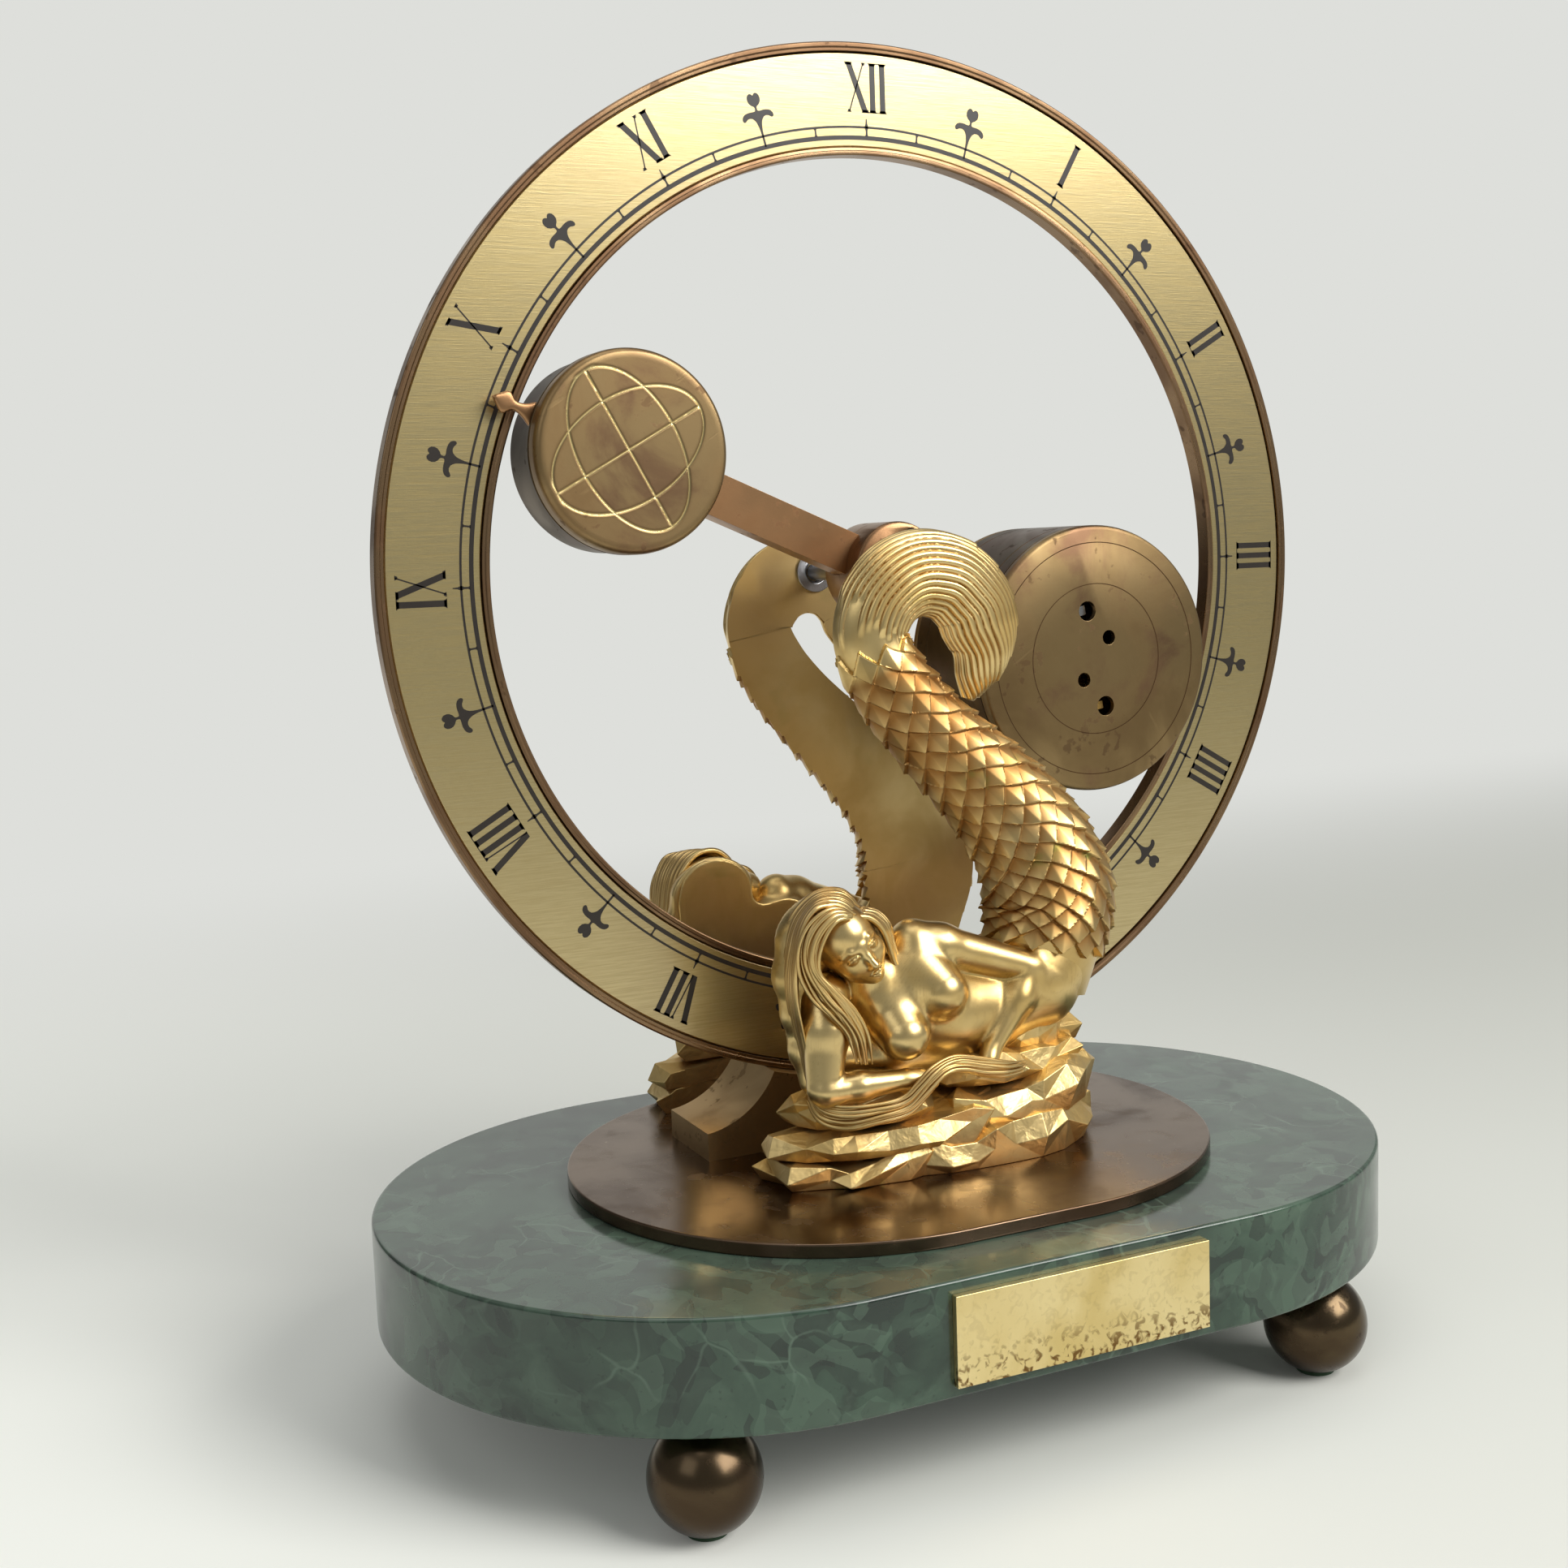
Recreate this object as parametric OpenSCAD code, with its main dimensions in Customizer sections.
// Mystery clock with a turning balanced bar between two cast mermaids.
// A drum with the movement and a smaller weighted drum sit on one bar, which
// turns once in twelve hours. Inside the large drum the movement turns a heavy
// half disc once in twelve hours the other way, so the half disc always hangs
// down and the bar is driven round. A pointer on the small drum tells the time.
// Frame: origin on the table under the middle of the base, X to the right,
// Y to the back, Z up.

/* [Stone base] */
// Length of the stone base from end to end
marble_l = 234; // [190:1:280]
// Depth of the stone base, which is also the width of its round ends
marble_w = 149; // [146:1:180]
// Thickness of the stone
marble_t = 23; // [18:1:35]
// Radius of the ball feet
foot_r = 11; // [8:0.5:14]
// Distance from the ends of the stone to the middle of a foot
foot_end = 45; // [35:0.5:55]
// Distance from the long sides of the stone to the middle of a foot
foot_side = 15.7; // [12:0.1:20]
// Length of the metal plate on the stone
plate_l = 148; // [140:1:180]
// Depth of the metal plate on the stone
plate_w = 119; // [118:1:140]
// Thickness of the metal plate
plate_t = 3; // [2:0.5:6]
// Width of the name plate on the front
plaque_w = 58; // [30:1:80]
// Height of the name plate
plaque_h = 18; // [10:0.5:20]

/* [Dial] */
// Outer radius of the dial frame
dial_r = 115; // [112:0.5:130]
// Width of the dial frame from its outer to its inner edge
ring_w = 24; // [20:0.5:26]
// Depth of the dial frame from front to back
dial_depth = 4.2; // [3.8:0.1:8]
// How far the dial sits right of the middle of the base
group_x = 7.5; // [0:0.5:10]
// How far the middle of bracket and castings sits behind the middle of the base
group_y = 17; // [10:0.5:18]
// Half the depth of the bracket that holds the dial
bracket_half = 11; // [8:0.5:14]
// Half the width of the foot of the bracket
bracket_foot = 49.8; // [40:0.2:55]

/* [Turning bar] */
// Angle of the bar in the rest pose, small drum up on the left
bar_angle = 23.3; // [0:0.1:90]
// Height of the bar
bar_h = 9.3; // [7:0.1:12]
// Thickness of the bar from front to back
bar_t = 6; // [4:0.5:7]
// Gap between the large drum and the dial frame as the bar turns
large_gap = 2.8; // [2:0.1:5]
// Outer radius of the large drum
large_r = 31.2; // [31:0.1:32]
// Gap between the small drum and the dial frame as the bar turns
small_gap = 2.3; // [2:0.1:5]
// Outer radius of the small drum
small_r = 21.2; // [18:0.1:21.5]
// Radius of the hub
hub_r = 10.85; // [10:0.05:13]
// Radius of the axle
axle_r = 2.1; // [1.5:0.1:3]

/* [Fits] */
// Radial play of turning pivots
run_fit = 0.05; // [0.02:0.01:0.1]
// Radial play of screws in their clear holes
screw_fit = 0.2; // [0.05:0.05:0.4]

/* [Hidden] */
$fn = 96;
eps = 0.01;

// Heights of the stand
pad_t = 0.8;
pad_r = 4;
marble_z = 2 * foot_r;
plate_z = marble_z + marble_t;
top_z = plate_z + plate_t;
axis_z = top_z + 13.2 + dial_r;
foot_x = marble_l / 2 - foot_end;
foot_y = marble_w / 2 - foot_side;
stud_r = 2;
plaque_x = 1.8;
plaque_t = 1.6;

// Bolts that rise through stone and plate: two in the bracket, two in each casting
bolt_r = 2;
bolt_head_r = 3.5;
washer_r = 4.5;
washer_t = 0.9;
bolt_sink = 6;
bolt_head_t = 3.5;
cast_flat = 28;
front_y = group_y - cast_flat;
rear_y = group_y + cast_flat;
// The castings are drawn for this height of the axis above the plate and grow with it
cast_axis_h = 128.2;
cast_k = (axis_z - top_z) / cast_axis_h;
bolt_off = 8 * cast_k;
bolt_left = group_x - 25.5 * cast_k;
bolt_right = group_x + 16.5 * cast_k;
bracket_bolt_x = 28;
bolt_spots = [[group_x - bracket_bolt_x, group_y, 8], [group_x + bracket_bolt_x, group_y, 8],
  [bolt_left, front_y - bolt_off, 9], [bolt_right, front_y - bolt_off, 9],
  [bolt_left, rear_y + bolt_off, 9], [bolt_right, rear_y + bolt_off, 9]];

// Radii of the dial and places of the drums on the bar
dial_in_r = dial_r - ring_w;
large_at = dial_in_r - large_gap - large_r;
small_at = dial_in_r - small_gap - small_r;

// Depths of the dial, measured along Y
ring_y = group_y - 6.4;
ring_back = ring_y + dial_depth;
recess_y = ring_y + 1.9;
disc_y = ring_y + 0.7;
plate_in_r = dial_in_r + 1.8;
plate_out_r = dial_r - 2.1;
ring_screw_end = axis_z - plate_out_r - 0.3;
ring_mid = ring_y + dial_depth / 2;

// Depths of the turning parts, measured along Y
bar_y = ring_y - 3.6;
bar_back = bar_y + bar_t;
bar_mid = bar_y + bar_t / 2;
hub_y = bar_mid - 8.5;
hub_back = bar_mid + 8.5;
axle_front = front_y - 5;
axle_back = rear_y + 5;
hub_screw_at = 7.8;
small_y = bar_y - 6.6;
small_back = small_y + 20.4;
large_y = bar_y - 4.4;
large_back = large_y + 33.6;
wall = 1.6;
large_wall = 1.1;
large_in = large_r - large_wall;
bearing_r = 4.3;
flange_r = 4.9;

// Depths of the movement, measured along Y
cap_t = 1.4;
fp_y = large_y + 5.4;
fp_t = 1.8;
in_y = fp_y + fp_t;
rp_y = in_y + 12.4;
rp_t = 1.8;
rp_back = rp_y + rp_t;
fp_r = large_in - 0.15;
rp_r = 26.5;
cap_back_y = large_back - cap_t;
pillar_at = 24.6;
pillar_r = 1.3;
pillar_turn = [40, 130, 220, 310];
case_screw_at = large_in - 1.3;
case_screw_turn = [0, 100, 190, 280];

// Train: teeth, spacings and places of the arbors in the turned frame of the movement
train_turn = 54.9;
key_at = 11.5;
barrel_n = 72;
inter_p = 12;
inter_n = 64;
centre_p = 12;
centre_n = 64;
third_p = 8;
third_n = 60;
fourth_p = 8;
fourth_n = 80;
d_barrel = 11.76;
d_inter = 11.4;
d_third = 9;
d_fourth = 7.48;
d_escape = 7.04;
function polar(r, a) = [r * cos(a), r * sin(a)];
at_barrel = [-key_at, 0];
at_minute = [key_at, 0];
inter_x = (d_barrel * d_barrel - key_at * key_at - d_inter * d_inter) / (2 * key_at);
at_inter = [inter_x, -sqrt(d_inter * d_inter - inter_x * inter_x)];
at_third = polar(d_third, 60);
at_fourth = at_third + polar(d_fourth, 80);
at_escape = at_fourth + polar(d_escape, -20);
at_balance = [17.5, 3.5];
at_lever = at_escape + 0.45 * (at_balance - at_escape);
arbor_r = 0.8;
pivot_r = 0.4;
escape_r = 3.6;
balance_r = 5;

// Turning helpers. Points are given as [radius, depth] with depth along Y.
module y_turn(points) {
  rotate([90, 0, 0])
    rotate_extrude()
      polygon([for (q = points) [q[0], -q[1]]]);
}

module y_rod(r, y0, y1) {
  translate([0, y1, 0])
    rotate([90, 0, 0])
      cylinder(r = r, h = y1 - y0);
}

module y_slab(y0, y1) {
  translate([0, y1, 0])
    rotate([90, 0, 0])
      linear_extrude(y1 - y0)
        children();
}

module z_rod(r, z0, z1) {
  translate([0, 0, z0])
    cylinder(r = r, h = z1 - z0);
}

// Frames: the axis of the dial, the turning bar, the two drums, the movement
module at_axis() {
  translate([group_x, 0, axis_z])
    children();
}

module on_bar() {
  at_axis()
    rotate([0, bar_angle, 0])
      children();
}

module in_large() {
  on_bar()
    translate([large_at, 0, 0])
      children();
}

module in_small() {
  on_bar()
    translate([-small_at, 0, 0])
      children();
}

module in_train(p) {
  in_large()
    rotate([0, train_turn, 0])
      translate([p[0], 0, p[1]])
        children();
}

// Slab with straight long sides, half round ends and small edge bevels
module stadium(l, w, h, c) {
  r = w / 2;
  s = l / 2 - r;
  side = [[0, 0], [r - c, 0], [r, c], [r, h - c], [r - c, h], [0, h]];
  for (k = [-1, 1])
    translate([k * s, 0, 0])
      rotate_extrude()
        polygon(side);
  translate([-s, 0, 0])
    rotate([90, 0, 90])
      linear_extrude(2 * s)
        polygon(concat(side, [for (q = [5, 4, 3, 2, 1]) [-side[q][0], side[q][1]]]));
}

module foot_places() {
  for (a = [-1, 1], b = [-1, 1])
    translate([a * foot_x, b * foot_y, 0])
      children();
}

module bolt_places() {
  for (q = bolt_spots)
    translate([q[0], q[1], 0])
      children();
}

// Toothed wheels. Thin teeth with play on both flanks.
function tooth_mod(n, other, d) = 2 * d / (n + other);
function teeth(n, rp, up, down, f, turn) = [
  for (i = [0 : n - 1], q = [[-down, -f * 0.525], [0, -f / 2], [up, -f * 0.22],
      [up, f * 0.22], [0, f / 2], [-down, f * 0.525]])
    polar(rp + q[0], turn + (i + q[1]) * 360 / n)];

module wheel(n, other, d, toward, y, t, bore, windows) {
  m = tooth_mod(n, other, d);
  rp = m * n / 2;
  y_slab(y, y + t)
    difference() {
      polygon(teeth(n, rp, 0.5 * m, 0.8 * m, 0.36, toward + 180 / n));
      circle(r = bore);
      if (windows > 0)
        for (k = [0 : windows - 1])
          rotate(k * 360 / windows + 20)
            translate([rp * 0.56, 0])
              circle(r = rp * 0.24);
    }
}

module pinion(n, other, d, toward, y, t, bore) {
  m = tooth_mod(n, other, d);
  y_slab(y, y + t)
    difference() {
      polygon(teeth(n, m * n / 2, 0.45 * m, 0.8 * m, 0.32, toward));
      circle(r = bore);
    }
}

function heading(a, b) = atan2(b[1] - a[1], b[0] - a[0]);

// Arbor with a thin pivot at each end, from plate to plate
module arbor(r) {
  y_rod(r, in_y + 0.2, rp_y - 0.2);
  y_rod(pivot_r, fp_y + 0.3, rp_back - 0.3);
}

// Parts of the stand

module marble_base() {
  color("seagreen")
    difference() {
      translate([0, 0, marble_z])
        stadium(marble_l, marble_w, marble_t, 0.8);
      bolt_places()
        union() {
          z_rod(bolt_r + screw_fit, marble_z - 1, plate_z + 1);
          z_rod(washer_r + screw_fit, marble_z - 1, marble_z + bolt_sink);
        }
      foot_places()
        z_rod(stud_r + eps, marble_z - 1, marble_z + 9);
    }
}

module ball_feet() {
  color("peru")
    foot_places()
      difference() {
        union() {
          translate([0, 0, foot_r])
            rotate_extrude()
              intersection() {
                circle(r = foot_r);
                translate([0, pad_t - foot_r])
                  square([foot_r, 2 * foot_r - pad_t - 0.4]);
              }
          z_rod(5, marble_z - 2.5, marble_z);
        }
        z_rod(stud_r + eps, foot_r, marble_z + 1);
      }
}

module foot_pads() {
  color("darkgreen")
    foot_places()
      z_rod(pad_r, 0, pad_t);
}

module foot_studs() {
  color("silver")
    foot_places()
      z_rod(stud_r, foot_r, marble_z + 9);
}

module base_plate() {
  color("sienna")
    difference() {
      translate([0, 0, plate_z])
        stadium(plate_l, plate_w, plate_t, 0.5);
      bolt_places()
        z_rod(bolt_r + screw_fit, plate_z - 1, top_z + 1);
    }
}

module name_plaque() {
  color("goldenrod")
    translate([plaque_x - plaque_w / 2, -marble_w / 2 - plaque_t, marble_z + (marble_t - plaque_h) / 2])
      cube([plaque_w, plaque_t, plaque_h]);
}

head_top = marble_z + bolt_sink - washer_t;
module base_bolts() {
  color("silver")
    for (q = bolt_spots)
      translate([q[0], q[1], 0])
        difference() {
          union() {
            z_rod(bolt_r, head_top - eps, top_z + q[2]);
            z_rod(bolt_head_r, head_top - bolt_head_t, head_top);
          }
          translate([-bolt_head_r, -0.5, head_top - bolt_head_t - eps])
            cube([2 * bolt_head_r, 1, 1]);
        }
}

module base_washers() {
  color("gainsboro")
    bolt_places()
      difference() {
        z_rod(washer_r, head_top, head_top + washer_t);
        z_rod(bolt_r + screw_fit, head_top - 1, head_top + washer_t + 1);
      }
}

// Block with two hollow flanks and a round seat for the ring
bracket_arc_r = 20.85;
bracket_arc_x = 52;
bracket_arc_z = 27;
module dial_bracket() {
  seat = dial_r + run_fit;
  color("saddlebrown")
    difference() {
      translate([group_x, 0, top_z])
        y_slab(group_y - bracket_half, group_y + bracket_half)
          difference() {
            translate([-bracket_foot, 0])
              square([2 * bracket_foot, bracket_arc_z]);
            for (k = [-1, 1])
              translate([k * bracket_arc_x, bracket_arc_z])
                circle(r = bracket_arc_r);
            translate([0, axis_z - top_z])
              circle(r = seat);
          }
      for (k = [0, 1])
        translate([bolt_spots[k][0], bolt_spots[k][1], 0])
          z_rod(bolt_r + eps, top_z - 1, top_z + bolt_spots[k][2] + 0.5);
      for (k = [-1, 1])
        translate([group_x + k * 8, ring_mid, 0]) {
          z_rod(1.2, top_z - 1, top_z + 20);
          z_rod(2.1, top_z - 1, top_z + 2.2);
        }
    }
}

module dial_frame_screws() {
  color("silver")
    for (k = [-1, 1])
      translate([group_x + k * 8, ring_mid, 0]) {
        z_rod(1, top_z + 1.9, ring_screw_end);
        z_rod(1.9, top_z + 0.6, top_z + 2);
      }
}

module dial_frame() {
  lip = 0.35;
  color("sienna")
    difference() {
      at_axis()
        y_turn([[dial_in_r, ring_y + lip], [dial_in_r + lip, ring_y],
          [plate_in_r - 0.15, ring_y], [plate_in_r - 0.15, recess_y],
          [plate_out_r + 0.15, recess_y], [plate_out_r + 0.15, ring_y],
          [dial_r - lip, ring_y], [dial_r, ring_y + lip],
          [dial_r, ring_back - lip], [dial_r - lip, ring_back],
          [dial_in_r + lip, ring_back], [dial_in_r, ring_back - lip]]);
      for (k = [-1, 1])
        translate([group_x + k * 8, ring_mid, 0])
          z_rod(1 + eps, top_z + 10, ring_screw_end + 0.2);
      dial_screw_places() {
        y_rod(0.8 + eps, recess_y - 1, ring_back);
        y_rod(1.7, ring_back - 1, ring_back + 1);
      }
    }
}

module dial_screw_places() {
  for (k = [0 : 3])
    at_axis()
      rotate([0, 45 + 90 * k, 0])
        translate([(plate_in_r + plate_out_r) / 2, 0, 0])
          children();
}

module dial_plate() {
  b = 0.3;
  color("goldenrod")
    difference() {
      at_axis()
        y_turn([[plate_in_r, disc_y + b], [plate_in_r + b, disc_y],
          [plate_out_r - b, disc_y], [plate_out_r, disc_y + b],
          [plate_out_r, recess_y], [plate_in_r, recess_y]]);
      dial_screw_places()
        y_rod(0.8 + eps, disc_y + 0.5, recess_y + 1);
    }
}

module dial_plate_screws() {
  color("silver")
    dial_screw_places()
      union() {
        y_rod(0.8, disc_y + 0.6, ring_back - 0.9);
        y_rod(1.5, ring_back - 1, ring_back - 0.2);
      }
}

// Castings, drawn with the flat back at depth 0, the plate at draw_z and the axis at draw_x.
// Beads are [x, z, y out of the flat back, radius, depth factor].
draw_x = 7.5;
draw_z = 48;
module cast_place() {
  translate([group_x, front_y, top_z])
    scale(cast_k)
      translate([-draw_x, 0, -draw_z])
        children();
}

module bead(q) {
  translate([q[0], -q[2], q[1]])
    scale([1, q[4], 1])
      sphere(r = q[3], $fn = 12);
}

module chain(list) {
  for (i = [0 : len(list) - 2])
    hull() {
      bead(list[i]);
      bead(list[i + 1]);
    }
}

// A faceted stone from corner points [x, z, y out of the flat back]
module stone(pts) {
  hull()
    polyhedron(points = [for (q = pts) [q[0], -q[2], q[1]]],
      faces = [[for (i = [0 : len(pts) - 1]) i]]);
}

curl_x = 5.5;
curl_z = 162;
tail = [[33, 90, 0, 13.6, 1], [34.6, 98, 0, 14.9, 0.98], [34.4, 105, 0, 14.9, 0.96],
  [31, 114, 0, 13.2, 0.98], [25, 122.5, 0, 11.6, 1], [17.5, 130.5, 0, 10.4, 1],
  [9.5, 138.2, 0, 9.4, 1], [2, 146, 0, 8.8, 1], [-4, 154, 0, 8.4, 0.98]];
fin = [for (q = [[180, 13.1, 8.2], [150, 13.3, 8.7], [120, 13.6, 9], [90, 13.8, 9],
    [60, 13.8, 9], [30, 13.8, 9], [2, 13.8, 8.6]])
  [curl_x + q[1] * cos(q[0]), curl_z + q[1] * sin(q[0]), 0, q[2], 0.86]];
fin_tip = [[19.3, 162.3, 0, 8.6, 0.8], [19.5, 156, 0, 6.4, 0.8], [17, 149.4, 0, 2.6, 0.9]];

module casting_body() {
  chain(tail);
  chain([tail[8], fin[0]]);
  chain(fin);
  chain(fin_tip);
  // hips, belly, chest and shoulders
  chain([[33, 90, 0, 13.6, 1], [28, 84.5, 2, 11.5, 1.05], [17, 80, 3.5, 9, 1.05],
    [6, 83, 4.5, 10, 1.1], [-5, 88, 5, 10, 1.05], [-14, 88, 5, 7.5, 1]]);
  chain([[-8, 84, 10, 6.5, 1], [-6.5, 79.5, 13.6, 4.6, 1]]);
  chain([[-3, 90.5, 10, 6.5, 1], [1.5, 86, 13.6, 4.6, 1]]);
  // right arm, bent back to the hip
  chain([[-3.5, 98.3, 7, 5.4, 1], [6, 97.5, 8.5, 5, 1], [21, 90.6, 9, 4, 1]]);
  chain([[21, 90.2, 9, 3.9, 1], [15, 79.5, 11, 3.2, 1], [9, 71.5, 12, 2.8, 1]]);
  // left arm, propped on the stones
  chain([[-24, 87, 6, 5.2, 1], [-26.5, 77, 8, 5, 1], [-27.5, 69.3, 9.5, 4.4, 1]]);
  chain([[-27.5, 68.6, 9.5, 4, 1], [-15, 68, 12.5, 3.7, 1], [-5.5, 67.5, 13, 3.2, 1]]);
  // neck and head
  chain([[-13, 91, 7, 5, 1], [-17, 97, 9.5, 7.4, 1]]);
  hull() {
    bead([-18.6, 100.6, 10, 7.4, 1]);
    bead([-14.6, 94.4, 12, 5.2, 1]);
  }
  // hair: crown, long fall at the back, strand over the shoulder, low lock
  chain([[-12, 107.5, 5, 4.4, 1], [-18.5, 106, 7, 6.6, 1], [-25, 103, 5, 7.8, 1],
    [-28, 94, 4, 6.2, 1], [-28.6, 82, 3.5, 4.6, 1], [-28.6, 71, 4, 3.6, 1],
    [-27, 63.5, 6, 3.4, 1], [-15, 62, 10, 3, 1], [-4, 63, 13, 2.9, 1]]);
  chain([[-10.5, 107, 6, 3.6, 1], [-8.4, 99, 8, 2.7, 1], [-7, 93, 10, 1.9, 1]]);
  chain([[-23.5, 97, 9, 3.4, 1], [-22, 88, 11.5, 2.8, 1], [-16.5, 79.5, 12, 2.3, 1],
    [-15, 73, 11, 2, 1]]);
  chain([[-4, 63, 13, 2.9, 1], [2, 69.5, 14, 2.4, 1], [9, 68, 14.5, 2.4, 1],
    [17, 66, 14, 2, 1], [24, 67.5, 12, 2.2, 1]]);
  // stones, bottom row then upper rows
  stone([[-34, 48, 0], [-36, 53, 0], [-33, 58, 0], [-6, 60, 0], [-2, 48, 0],
    [-34, 48, 12], [-38, 52.6, 9], [-33, 56.5, 11], [-20, 57, 15], [-10, 48, 19.5],
    [-12, 56, 16.5], [-2, 53, 18]]);
  stone([[-12, 48, 0], [-12, 61, 0], [26, 61, 0], [26, 48, 0], [-10, 48, 18],
    [-10, 57.5, 16], [6, 48, 20], [4, 57, 17.5], [16, 56.5, 19], [24, 48, 18.4]]);
  stone([[14, 48, 0], [14, 60, 0], [38, 60, 0], [46, 53.5, 0], [42, 48, 0],
    [18, 48, 18.6], [25, 48, 19.6], [22, 57, 17.5], [36, 58.5, 9], [44.5, 53, 8],
    [38, 48, 12.6]]);
  stone([[-35, 60.5, 0], [-31, 56, 0], [-28, 66, 0], [4, 66, 0], [8, 57, 0],
    [-36.5, 61.5, 8], [-31, 65, 9.5], [-31, 58, 12], [-14, 56.5, 16], [2, 58, 17.5],
    [-2, 65, 14], [-22, 65.5, 13]]);
  stone([[-6, 57, 0], [-6, 70, 0], [30, 74, 0], [40, 70, 0], [39, 60, 0], [-2, 66, 13],
    [10, 61.5, 17.5], [-3, 60.5, 16], [25, 57.5, 17], [27, 62, 15.5], [33, 66.5, 10],
    [39, 62, 6], [12, 68, 13]]);
  stone([[16, 68, 0], [24, 82, 0], [33, 77.5, 0], [41.5, 70, 0], [36, 66, 0],
    [20, 71, 11], [34, 74, 6.5], [39.5, 70.5, 5], [30, 67.5, 9.5]]);
}

module one_casting() {
  difference() {
    intersection() {
      cast_place()
        casting_body();
      translate([group_x - plate_l / 2, front_y - plate_w / 2, top_z])
        cube([plate_l, plate_w / 2, 2 * dial_r]);
    }
    translate([group_x, 0, axis_z])
      y_rod(bearing_r + eps, front_y - 5.2, front_y + 1);
    for (q = [bolt_spots[2], bolt_spots[3]])
      translate([q[0], q[1], 0])
        z_rod(bolt_r + eps, top_z - 1, top_z + q[2] + 0.4);
  }
}

module front_mermaid() {
  color("gold")
    one_casting();
}

module rear_mermaid() {
  color("gold")
    translate([0, 2 * group_y, 0])
      mirror([0, 1, 0])
        one_casting();
}

module one_bearing() {
  at_axis()
    difference() {
      union() {
        y_rod(bearing_r, front_y - 5.1, front_y);
        y_rod(flange_r, front_y, front_y + 0.8);
      }
      y_rod(axle_r + run_fit, front_y - 5.2, front_y + 1);
      y_turn([[0, front_y + 0.9], [axle_r + 0.9, front_y + 0.9], [axle_r, front_y + 0.1], [0, front_y + 0.1]]);
    }
}

module front_bearing() {
  color("slategray")
    one_bearing();
}

module rear_bearing() {
  color("slategray")
    translate([0, 2 * group_y, 0])
      mirror([0, 1, 0])
        one_bearing();
}

// Turning bar with hub, pointer and the two drums

module axle() {
  color("dimgray")
    on_bar()
      y_turn([[0, axle_front + 0.1], [axle_r - 0.3, axle_front + 0.1],
        [axle_r, axle_front + 0.4], [axle_r, axle_back - 0.4],
        [axle_r - 0.3, axle_back - 0.1], [0, axle_back - 0.1]]);
}

module bar_slot() {
  translate([-hub_r - 1, bar_y, -bar_h / 2 - eps])
    cube([2 * hub_r + 2, bar_t, bar_h + 2 * eps]);
}

module hub_front() {
  b = 1;
  color("sienna")
    on_bar()
      difference() {
        y_turn([[0, hub_y], [hub_r - b, hub_y], [hub_r - b * 0.3, hub_y + b * 0.3],
          [hub_r, hub_y + b], [hub_r, bar_mid], [0, bar_mid]]);
        y_rod(axle_r + eps, hub_y - 1, bar_mid + 1);
        bar_slot();
        for (k = [-1, 1])
          translate([0, 0, k * hub_screw_at]) {
            y_rod(2.1, hub_y - 1, hub_y + 2.6);
            y_rod(1.2 + eps, hub_y, bar_mid + 1);
          }
      }
}

module hub_rear() {
  b = 1.6;
  color("sienna")
    on_bar()
      difference() {
        y_turn([[0, bar_mid], [hub_r, bar_mid], [hub_r, hub_back - b],
          [hub_r - b * 0.3, hub_back - b * 0.3], [hub_r - b, hub_back], [0, hub_back]]);
        y_rod(axle_r + eps, bar_mid - 1, hub_back + 1);
        bar_slot();
        for (k = [-1, 1])
          translate([0, 0, k * hub_screw_at])
            y_rod(1.2 + eps, bar_mid - 1, hub_back - 3);
      }
}

module hub_screws() {
  color("dimgray")
    on_bar()
      for (k = [-1, 1])
        translate([0, 0, k * hub_screw_at])
          difference() {
            union() {
              y_rod(1.9, hub_y + 1, hub_y + 2.6);
              y_rod(1.2, hub_y + 2.5, hub_back - 3.2);
            }
            translate([-2, hub_y, -0.25])
              cube([4, 1.5, 0.5]);
          }
}

module balance_bar() {
  color("sienna")
    on_bar()
      difference() {
        translate([-small_at, bar_y, -bar_h / 2])
          cube([small_at + large_at, bar_t, bar_h]);
        translate([-small_at, 0, 0])
          y_rod(small_r, bar_y - 1, bar_back + 1);
        translate([large_at, 0, 0])
          y_rod(large_r, bar_y - 1, bar_back + 1);
        y_rod(axle_r + eps, bar_y - 1, bar_back + 1);
        bar_screw_places()
          rotate([0, 90, 0])
            z_rod(1 + eps, -4, 12);
      }
}

// One screw at each end of the bar, driven from inside the drum
module bar_screw_places() {
  translate([large_at - large_in, bar_mid, 0])
    rotate([0, 180, 0])
      children();
  translate([-small_at + small_r - wall, bar_mid, 0])
    children();
}

module bar_screws() {
  color("dimgray")
    on_bar()
      bar_screw_places()
        rotate([0, 90, 0]) {
          z_rod(1, 0, 9);
          z_rod(2, -1, 0);
        }
}

module pointer() {
  root = small_at + small_r;
  color("peru")
    on_bar()
      y_slab(bar_y + 0.2, bar_y + 1.3)
        difference() {
          union() {
            polygon([[-root + 1.5, -2.3], [-root + 1.5, 2.3], [-root - 0.8, 1.7],
              [-root - 2.2, 0.9], [-root - 3.6, 0.7], [-root - 4.6, 0.8],
              [-root - 4.6, -0.8], [-root - 3.6, -0.7], [-root - 2.2, -0.9],
              [-root - 0.8, -1.7]]);
            for (k = [-1, 1])
              translate([-root - 5.6, k * 0.95])
                circle(r = 1.25);
            polygon([[-root - 4.4, -1.6], [-root - 4.4, 1.6], [-root - 6.6, 1.5],
              [-root - 9.4, 0], [-root - 6.6, -1.5]]);
          }
          translate([-small_at, 0])
            circle(r = small_r - 0.6 + eps);
        }
}

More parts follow.
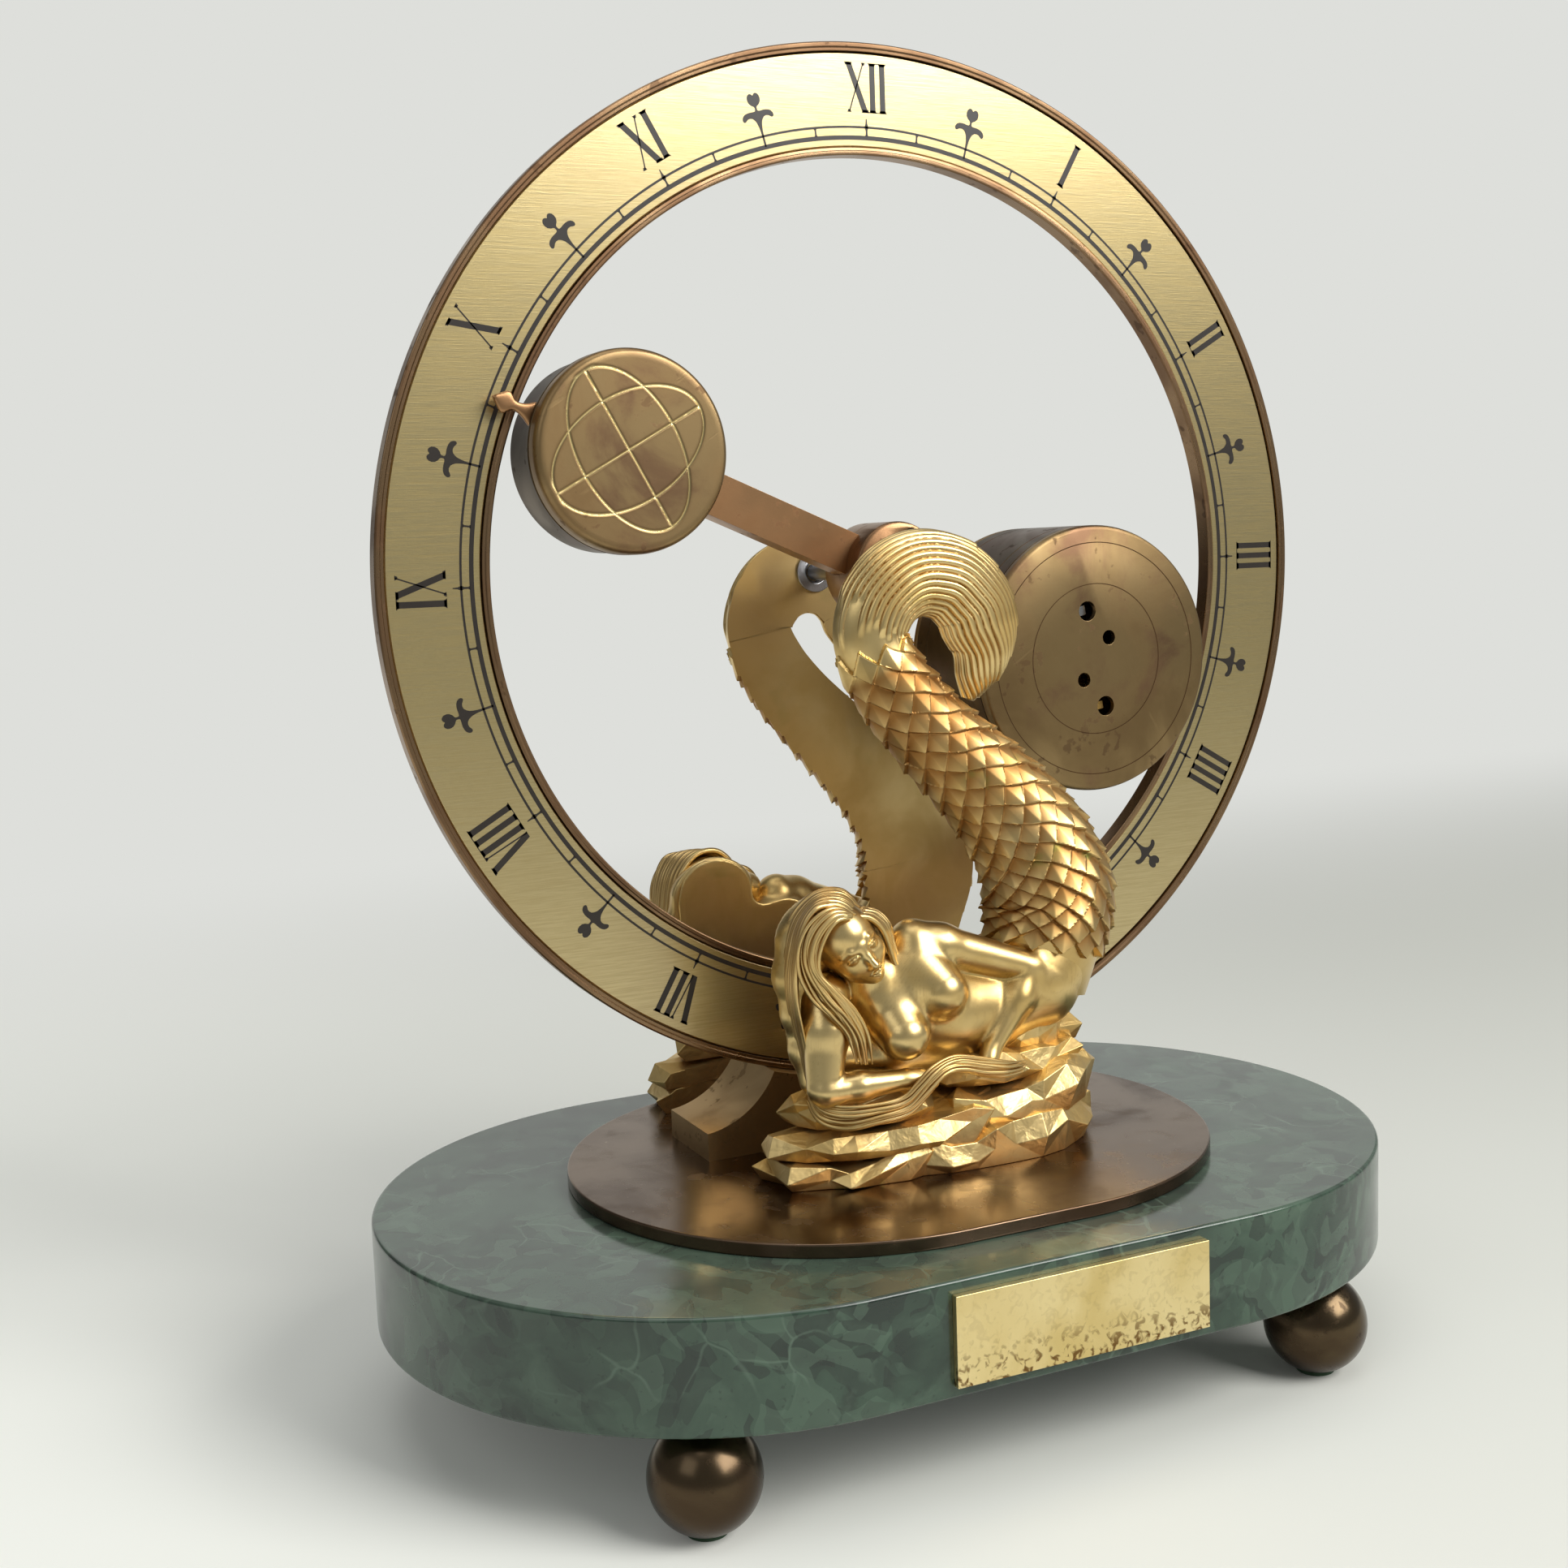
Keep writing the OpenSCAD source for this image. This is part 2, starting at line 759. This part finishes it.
small_mid = bar_y - 1.5;
cover_t = 4.6;
module small_case() {
  r = small_r - 0.6;
  color("sienna")
    difference() {
      in_small()
        y_turn([[0, small_back - 1.6], [r - wall, small_back - 1.6], [r - wall, small_mid],
          [small_r - 0.2, small_mid], [small_r, small_mid + 0.2], [small_r, small_mid + 1.2],
          [r, small_mid + 1.45], [r, small_back - 0.8], [r - 0.8, small_back],
          [0, small_back]]);
      on_bar()
        translate([-small_at + small_r, bar_mid, 0])
          rotate([0, 90, 0])
            z_rod(1 + eps, -4, 1);
      // flat seat for the screw head and a clear way for the bar end
      on_bar()
        translate([-small_at + small_r - wall - 3, bar_mid, 0])
          rotate([0, 90, 0])
            z_rod(2.1, 0, 3);
      in_small()
        counterpoise_screw_places()
          y_rod(1 + screw_fit, small_back - 3, small_back + 1);
    }
  // sleeve that fills the gap between the case wall and the end of the bar
  color("sienna")
    difference() {
      on_bar()
        translate([-small_at, bar_y, -bar_h / 2])
          cube([small_r, bar_t, bar_h]);
      in_small()
        y_rod(r - eps, bar_y - 1, bar_back + 1);
      difference() {
        in_small()
          y_rod(small_r + 5, bar_y - 1, bar_back + 1);
        in_small()
          y_rod(small_r, bar_y - 2, bar_back + 2);
      }
      on_bar()
        translate([-small_at + small_r, bar_mid, 0])
          rotate([0, 90, 0])
            z_rod(1 + eps, -4, 1);
    }
}

module small_cover() {
  r = small_r;
  color("sienna")
    in_small()
      y_turn([[0, small_y], [r - 1.3, small_y], [r - 0.4, small_y + 0.45], [r, small_y + 1.3],
        [r, small_mid - 0.6], [r - 0.15, small_mid - 0.45], [r - 0.7, small_mid - 0.45],
        [r - 0.7, small_mid], [small_r - 0.6 - wall, small_mid],
        [small_r - 0.6 - wall - run_fit, small_mid + 2], [small_r - 4, small_mid + 2],
        [small_r - 4, small_y + cover_t], [0, small_y + cover_t]]);
}

module counterpoise_screw_places() {
  for (k = [-1, 1])
    translate([0, 0, k * 9])
      children();
}

module counterpoise() {
  r = small_r - 0.6 - wall - 1.1;
  color("gray")
    difference() {
      in_small()
        y_rod(r, small_mid + 2.4, small_back - 1.6);
      in_small()
        counterpoise_screw_places()
          y_rod(1 + eps, small_back - 8, small_back);
    }
}

module counterpoise_screws() {
  color("silver")
    in_small()
      counterpoise_screw_places()
        union() {
          y_rod(1, small_back - 7.8, small_back);
          y_rod(2, small_back, small_back + 1.2);
        }
}

// Large drum and movement

// Where the case steps to hold the movement
ledge_y = in_y;
module movement_case() {
  r = large_r;
  color("sienna")
    difference() {
      in_large()
        y_turn([[large_in, large_y + cap_t + 1.2], [r, large_y + cap_t + 1.2],
          [r, cap_back_y - 1], [large_in, cap_back_y - 1], [large_in, ledge_y + 1.6],
          [large_in - 2.4, ledge_y + 1], [large_in - 2.4, ledge_y], [large_in, ledge_y]]);
      on_bar()
        translate([large_at - large_r, bar_mid, 0])
          rotate([0, 90, 0]) {
            z_rod(1 + eps, -2, 6);
            z_rod(2.1, large_wall, 6);
          }
      in_large()
        case_screw_places()
          y_rod(0.8 + eps, ledge_y - 1, ledge_y + 3);
    }
}

module case_screw_places() {
  for (a = case_screw_turn)
    rotate([0, -a, 0])
      translate([case_screw_at, 0, 0])
        children();
}

module case_screws() {
  color("steelblue")
    in_large()
      case_screw_places()
        union() {
          y_rod(0.8, fp_y - 0.1, ledge_y + 0.9);
          y_rod(1.1, fp_y - 0.8, fp_y);
        }
}

key_hole_r = 2.3;
small_hole_r = 1.7;
small_hole_at = 6;
module key_holes(y0, y1) {
  for (a = [125.1, -54.9])
    rotate([0, -a, 0])
      translate([key_at, 0, 0])
        y_rod(key_hole_r, y0, y1);
  for (a = [77, -103])
    rotate([0, -a, 0])
      translate([small_hole_at, 0, 0])
        y_rod(small_hole_r, y0, y1);
}

module movement_cap() {
  r = large_r;
  b = 1.1;
  color("sienna")
    in_large()
      difference() {
        y_turn([[0, large_y], [r - b, large_y], [r - b * 0.3, large_y + b * 0.3],
          [r, large_y + b], [r, large_y + cap_t + 1], [r - 0.5, large_y + cap_t + 1],
          [r - 0.5, large_y + cap_t + 1.2], [large_in, large_y + cap_t + 1.2],
          [large_in - run_fit, large_y + cap_t + 2], [large_in - 1.2, large_y + cap_t + 2],
          [large_in - 1.2, large_y + cap_t], [0, large_y + cap_t]]);
        key_holes(large_y - 1, large_y + cap_t + 1);
      }
}

module rear_cap() {
  r = large_r;
  color("sienna")
    in_large()
      difference() {
        y_turn([[0, large_back], [r - 0.8, large_back], [r, large_back - 0.8],
          [r, cap_back_y - 0.8], [r - 0.5, cap_back_y - 0.8], [r - 0.5, cap_back_y - 1],
          [large_in, cap_back_y - 1], [large_in - run_fit, cap_back_y - 2],
          [large_in - 1.2, cap_back_y - 2], [large_in - 1.2, cap_back_y], [0, cap_back_y]]);
        y_rod(1.5 + eps, cap_back_y - 1, large_back + 1);
      }
}

module weight_stud() {
  color("silver")
    in_large()
      difference() {
        union() {
          y_rod(2, rp_back + 4.2, cap_back_y);
          y_rod(1.5, cap_back_y - 0.1, large_back);
        }
        y_rod(1, rp_back + 4, rp_back + 6);
      }
}

// Pivot holes of every arbor, cut through one plate
module pivot_holes(y0, y1) {
  for (p = [[0, 0], at_inter, at_third, at_fourth, at_escape, at_lever, at_balance])
    translate([p[0], 0, p[1]])
      y_rod(pivot_r + run_fit, y0, y1);
}

module pillar_places() {
  for (a = pillar_turn)
    rotate([0, -a, 0])
      translate([pillar_at, 0, 0])
        children();
}

module front_plate() {
  color("khaki")
    difference() {
      in_large()
        y_rod(fp_r, fp_y, in_y);
      in_train([0, 0]) {
        pivot_holes(fp_y - 1, in_y + 1);
        pillar_places()
          y_rod(0.7 + eps, fp_y - 1, in_y + 1);
        translate([at_barrel[0], 0, at_barrel[1]])
          y_rod(1.5 + run_fit, fp_y - 1, in_y + 1);
        translate([at_minute[0], 0, at_minute[1]])
          y_rod(arbor_r + run_fit, fp_y - 1, in_y + 1);
        translate([click_spot[0], 0, click_spot[1]])
          y_rod(0.6 + eps, fp_y - 1, in_y + 1);
      }
      in_large()
        case_screw_places()
          y_rod(0.8 + screw_fit, fp_y - 1, in_y + 1);
      // notch that clears the head of the bar screw
      on_bar()
        translate([large_at - large_r, bar_mid, 0])
          rotate([0, 90, 0])
            z_rod(2.3, large_wall, 5);
    }
}

module rear_plate() {
  color("khaki")
    difference() {
      in_large()
        y_rod(rp_r, rp_y, rp_back);
      in_train([0, 0]) {
        pivot_holes(rp_y - 1, rp_back + 1);
        y_rod(arbor_r + run_fit, rp_y - 1, rp_back + 1);
        pillar_places()
          y_rod(0.7 + screw_fit, rp_y - 1, rp_back + 1);
        translate([at_barrel[0], 0, at_barrel[1]])
          y_rod(1 + run_fit, rp_y - 1, rp_back + 1);
        translate([at_minute[0], 0, at_minute[1]])
          y_rod(arbor_r + run_fit, rp_y - 1, rp_back + 1);
      }
    }
}

module plate_pillars() {
  color("khaki")
    in_train([0, 0])
      pillar_places()
        difference() {
          union() {
            y_rod(pillar_r, in_y, rp_y);
            y_rod(0.7, fp_y + 0.2, in_y + 0.1);
          }
          y_rod(0.7 + eps, rp_y - 4, rp_y + 1);
        }
}

module plate_screws() {
  color("steelblue")
    in_train([0, 0])
      pillar_places()
        difference() {
          union() {
            y_rod(0.7, rp_y - 3.8, rp_back);
            y_rod(1.4, rp_back, rp_back + 0.8);
          }
          translate([-2, rp_back + 0.4, -0.2])
            cube([4, 1, 0.4]);
        }
}

// Motion work and the hanging weight behind the rear plate

motion_y = rp_back + 0.5;
module centre_wheel() {
  color("gold")
    in_train([0, 0]) {
      y_rod(arbor_r, in_y + 0.2, motion_y + 1.6);
      y_rod(pivot_r, fp_y + 0.3, in_y + 0.3);
      pinion(centre_p, inter_n, d_inter, heading([0, 0], at_inter), in_y + 8, 1.9, arbor_r - 0.2);
      wheel(centre_n, third_p, d_third, heading([0, 0], at_third), in_y + 10.7, 0.7, arbor_r - 0.2, 5);
      // cannon pinion, held by friction on the arbor
      pinion(12, 36, key_at, heading([0, 0], at_minute), motion_y, 1.5, arbor_r - 0.2);
    }
}

module minute_wheel() {
  color("gold")
    in_train(at_minute) {
      y_rod(arbor_r, large_y + 3.4, motion_y + 3.5);
      wheel(36, 12, key_at, heading(at_minute, [0, 0]), motion_y + 0.2, 0.9, arbor_r - 0.2, 4);
      pinion(10, 40, key_at, heading(at_minute, [0, 0]), motion_y + 1.9, 1.5, arbor_r - 0.2);
      // square end for the setting key
      translate([-0.9, large_y + 2.6, -0.9])
        cube([1.8, 2.4, 1.8]);
    }
}

weight_y = motion_y + 3.7;
weight_t = 6.2;
weight_r = 25.2;
module hour_wheel() {
  color("gold")
    difference() {
      in_train([0, 0])
        union() {
          wheel(40, 10, key_at, heading([0, 0], at_minute), motion_y + 2.2, 0.9, 1, 0);
          y_rod(3.6, motion_y + 3, weight_y);
        }
      in_train([0, 0])
        y_rod(2 + run_fit, motion_y + 2, weight_y + 1);
      at_drum()
        weight_screw_places()
          y_rod(0.7 + screw_fit, motion_y + 2, weight_y);
    }
}

module weight_screw_places() {
  for (a = [210, 330])
    rotate([0, -a, 0])
      translate([6.4, 0, 0])
        children();
}

drum_x = group_x + large_at * cos(bar_angle);
drum_z = axis_z - large_at * sin(bar_angle);
module at_drum() {
  translate([drum_x, 0, drum_z])
    children();
}

module drive_weight() {
  color("gray")
    at_drum()
      difference() {
        y_slab(weight_y, weight_y + weight_t)
          union() {
            circle(r = 5);
            intersection() {
              circle(r = weight_r);
              translate([-weight_r, -weight_r])
                square([2 * weight_r, weight_r]);
            }
          }
        y_rod(2 + run_fit, weight_y - 1, weight_y + weight_t + 1);
        weight_screw_places()
          y_rod(0.7 + eps, weight_y - 1, weight_y + 4);
      }
}

module weight_screws() {
  color("steelblue")
    at_drum()
      weight_screw_places()
        union() {
          y_rod(0.7, motion_y + 2.1, weight_y + 3.8);
          y_rod(1.3, motion_y + 1.4, motion_y + 2.2);
        }
}

// Going train

module intermediate_wheel() {
  color("gold")
    in_train(at_inter) {
      arbor(arbor_r);
      pinion(inter_p, barrel_n, d_barrel, heading(at_inter, at_barrel), in_y + 5.8, 1.8, arbor_r - 0.2);
      wheel(inter_n, centre_p, d_inter, heading(at_inter, [0, 0]), in_y + 8.6, 0.8, arbor_r - 0.2, 5);
    }
}

barrel_r = 9.2;
barrel_y = in_y + 0.8;
barrel_end = in_y + 7.2;
module barrel() {
  color("gold")
    in_train(at_barrel) {
      difference() {
        y_rod(barrel_r, barrel_y, barrel_end);
        y_rod(barrel_r - 0.6, barrel_y - 1, barrel_end - 1);
        y_rod(1 + run_fit, barrel_y, barrel_end + 1);
      }
      wheel(barrel_n, inter_p, d_barrel, heading(at_barrel, at_inter), barrel_end - 1, 1, barrel_r - 0.2, 0);
    }
}

module barrel_cover() {
  color("khaki")
    in_train(at_barrel)
      difference() {
        y_rod(barrel_r - 0.6, barrel_y, barrel_y + 0.6);
        y_rod(1.5 + run_fit, barrel_y - 1, barrel_y + 1);
      }
}

function spiral(r0, r1, turns, n) = [for (i = [0 : n]) polar(r0 + (r1 - r0) * i / n, 360 * turns * i / n)];
module mainspring() {
  n = 100;
  out = spiral(2.5, 8.3, 5, n);
  inn = spiral(2.1, 7.9, 5, n);
  color("steelblue")
    in_train(at_barrel)
      y_slab(barrel_y + 0.9, barrel_end - 1.2)
        polygon(concat(out, [for (i = [n : -1 : 0]) inn[i]]));
}

ratchet_n = 20;
ratchet_r = 4.4;
module winding_arbor() {
  color("silver")
    in_train(at_barrel) {
      y_rod(1, barrel_y, rp_back - 0.2);
      y_rod(1.5, fp_y - 1.2, barrel_y + 0.8);
      y_rod(1.9, barrel_y + 1, barrel_end - 1.3);
      translate([-1.1, large_y + 2.6, -1.1])
        cube([2.2, 1.8, 2.2]);
      y_slab(fp_y - 1, fp_y - 0.2)
        polygon([for (i = [0 : ratchet_n - 1], q = [[ratchet_r - 0.6, 0], [ratchet_r, 0.85]])
          polar(q[0], (i + q[1]) * 360 / ratchet_n)]);
    }
}

click_spot = [at_barrel[0] + 6.4, at_barrel[1] + 4.2];
module click() {
  tip = at_barrel + polar(ratchet_r + 0.25, 62);
  color("silver")
    in_train([0, 0])
      difference() {
        union() {
          translate([click_spot[0], 0, click_spot[1]])
            y_rod(1.3, fp_y - 1, fp_y - 0.2);
          y_slab(fp_y - 1, fp_y - 0.2)
            polygon([click_spot + [-0.8, 1], click_spot + [-0.8, -0.9],
              tip + [0.3, -0.1], tip + [0, 0.9]]);
        }
        translate([click_spot[0], 0, click_spot[1]])
          y_rod(0.6 + run_fit, fp_y - 3, fp_y + 1);
      }
}

module click_screw() {
  color("steelblue")
    in_train(click_spot) {
      y_rod(0.6, fp_y - 1.2, in_y);
      y_rod(1.1, fp_y - 1.7, fp_y - 1.1);
    }
}

module third_wheel() {
  color("gold")
    in_train(at_third) {
      arbor(0.5);
      pinion(third_p, centre_n, d_third, heading(at_third, [0, 0]), in_y + 10.3, 1.5, 0.3);
      wheel(third_n, fourth_p, d_fourth, heading(at_third, at_fourth), in_y + 2.2, 0.5, 0.3, 5);
    }
}

module fourth_wheel() {
  color("gold")
    in_train(at_fourth) {
      arbor(0.5);
      pinion(fourth_p, third_n, d_fourth, heading(at_fourth, at_third), in_y + 1.7, 1.5, 0.3);
      wheel(fourth_n, 8, d_escape, heading(at_fourth, at_escape), in_y + 8.8, 0.4, 0.3, 5);
    }
}

// Escapement, with the parts just clear of each other in the rest pose
escape_y = in_y + 4.8;
module escape_wheel() {
  n = 15;
  color("gold")
    in_train(at_escape) {
      arbor(0.35);
      y_rod(0.45, in_y + 8.2, in_y + 9.8);
      y_slab(escape_y, escape_y + 0.4)
        difference() {
          polygon([for (i = [0 : n - 1], q = [[escape_r - 1, 0.1], [escape_r, 0.62], [escape_r, 0.8],
              [escape_r - 1, 0.75]]) polar(q[0], (i + q[1]) * 360 / n)]);
          for (k = [0 : 3])
            rotate(k * 90)
              translate([1.45, 0])
                circle(r = 0.7);
        }
    }
}

module lever() {
  away = heading(at_lever, at_escape);
  gap = norm(at_lever - at_escape) - escape_r;
  reach = norm(at_balance - at_lever);
  color("silver")
    in_train(at_lever) {
      arbor(0.35);
      y_slab(escape_y, escape_y + 0.5)
        rotate(away) {
          // arms that carry the two pallets either side of the wheel
          polygon([[gap - 0.35, -2.6], [gap + 0.55, -3.1], [gap + 0.75, -2.75], [0.6, 0],
            [gap + 0.75, 2.75], [gap + 0.55, 3.1], [gap - 0.35, 2.6], [-0.6, 0.5], [-0.6, -0.5]]);
          // tail with the fork
          translate([-reach + 1.5, -0.3])
            square([reach - 1.5, 0.6]);
          translate([-reach + 1.1, -0.7])
            difference() {
              square([0.8, 1.4]);
              translate([-0.1, 0.5])
                square([0.5, 0.4]);
            }
        }
    }
}

module balance_wheel() {
  color("gold")
    in_train(at_balance) {
      arbor(0.4);
      // roller with the impulse pin, clear of the fork
      y_rod(0.75, escape_y + 0.9, escape_y + 1.4);
      y_slab(in_y + 6.8, in_y + 7.7)
        union() {
          difference() {
            circle(r = balance_r);
            circle(r = balance_r - 0.8);
          }
          translate([-balance_r + 0.4, -0.4])
            square([2 * balance_r - 0.8, 0.8]);
        }
      // coils of the hairspring, drawn as three rings on a bar
      y_slab(in_y + 9.2, in_y + 9.6)
        union() {
          for (r = [1.2, 2, 2.8])
            difference() {
              circle(r = r);
              circle(r = r - 0.15);
            }
          translate([0, -0.1])
            square([2.8, 0.2]);
        }
    }
}

marble_base();
ball_feet();
foot_pads();
foot_studs();
base_plate();
name_plaque();
base_bolts();
base_washers();
dial_bracket();
dial_frame();
dial_frame_screws();
dial_plate();
dial_plate_screws();
front_mermaid();
rear_mermaid();
front_bearing();
rear_bearing();
axle();
hub_front();
hub_rear();
hub_screws();
balance_bar();
bar_screws();
pointer();
small_case();
small_cover();
counterpoise();
counterpoise_screws();
movement_case();
movement_cap();
rear_cap();
front_plate();
rear_plate();
plate_pillars();
plate_screws();
case_screws();
weight_stud();
hour_wheel();
drive_weight();
weight_screws();
minute_wheel();
centre_wheel();
intermediate_wheel();
barrel();
barrel_cover();
mainspring();
winding_arbor();
click();
click_screw();
third_wheel();
fourth_wheel();
escape_wheel();
lever();
balance_wheel();
